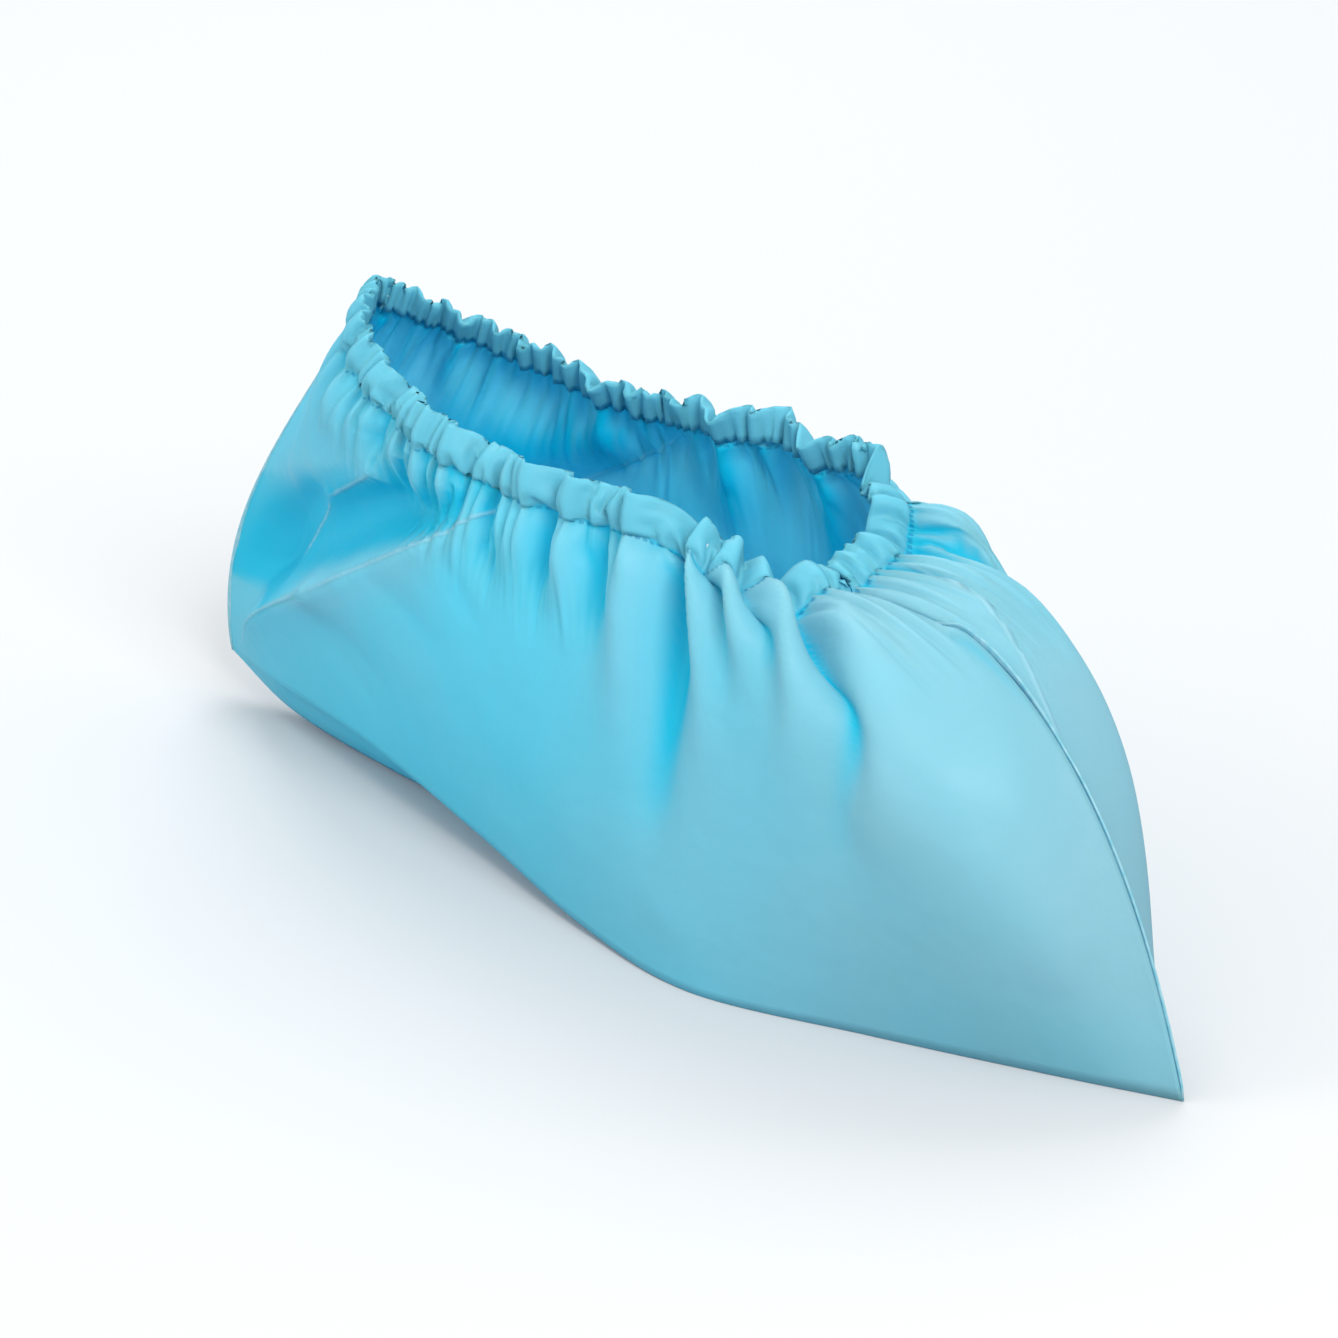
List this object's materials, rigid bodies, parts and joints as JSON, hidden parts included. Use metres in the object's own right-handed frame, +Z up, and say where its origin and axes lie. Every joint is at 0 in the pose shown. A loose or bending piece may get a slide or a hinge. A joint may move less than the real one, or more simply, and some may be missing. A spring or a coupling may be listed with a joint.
{
  "type": "shoe cover",
  "caption": "Disposable film shoe cover in its worn form: an open bag with welded heel and toe edges, a flat sole and an elastic hem gathered round the mouth.",
  "frame": {"origin": "middle of the cover's box on the floor that the sole rests on", "axes": "+X towards the toe, +Z up, so +Y is to the wearer's left"},
  "size_m": [0.3896, 0.0994, 0.1458],
  "materials": {
    "film": "sky-blue embossed polyethylene film, satin and slightly see-through",
    "casing": "the same film, doubled and gathered",
    "weld": "fused film, glossier and a little clearer",
    "elastic": "white flat elastic"
  },
  "bodies": {
    "root": {"film_body": "film", "heel_seam": "weld", "toe_seam": "weld", "hem_casing": "casing", "elastic_band": "elastic"}
  },
  "joints": []
}
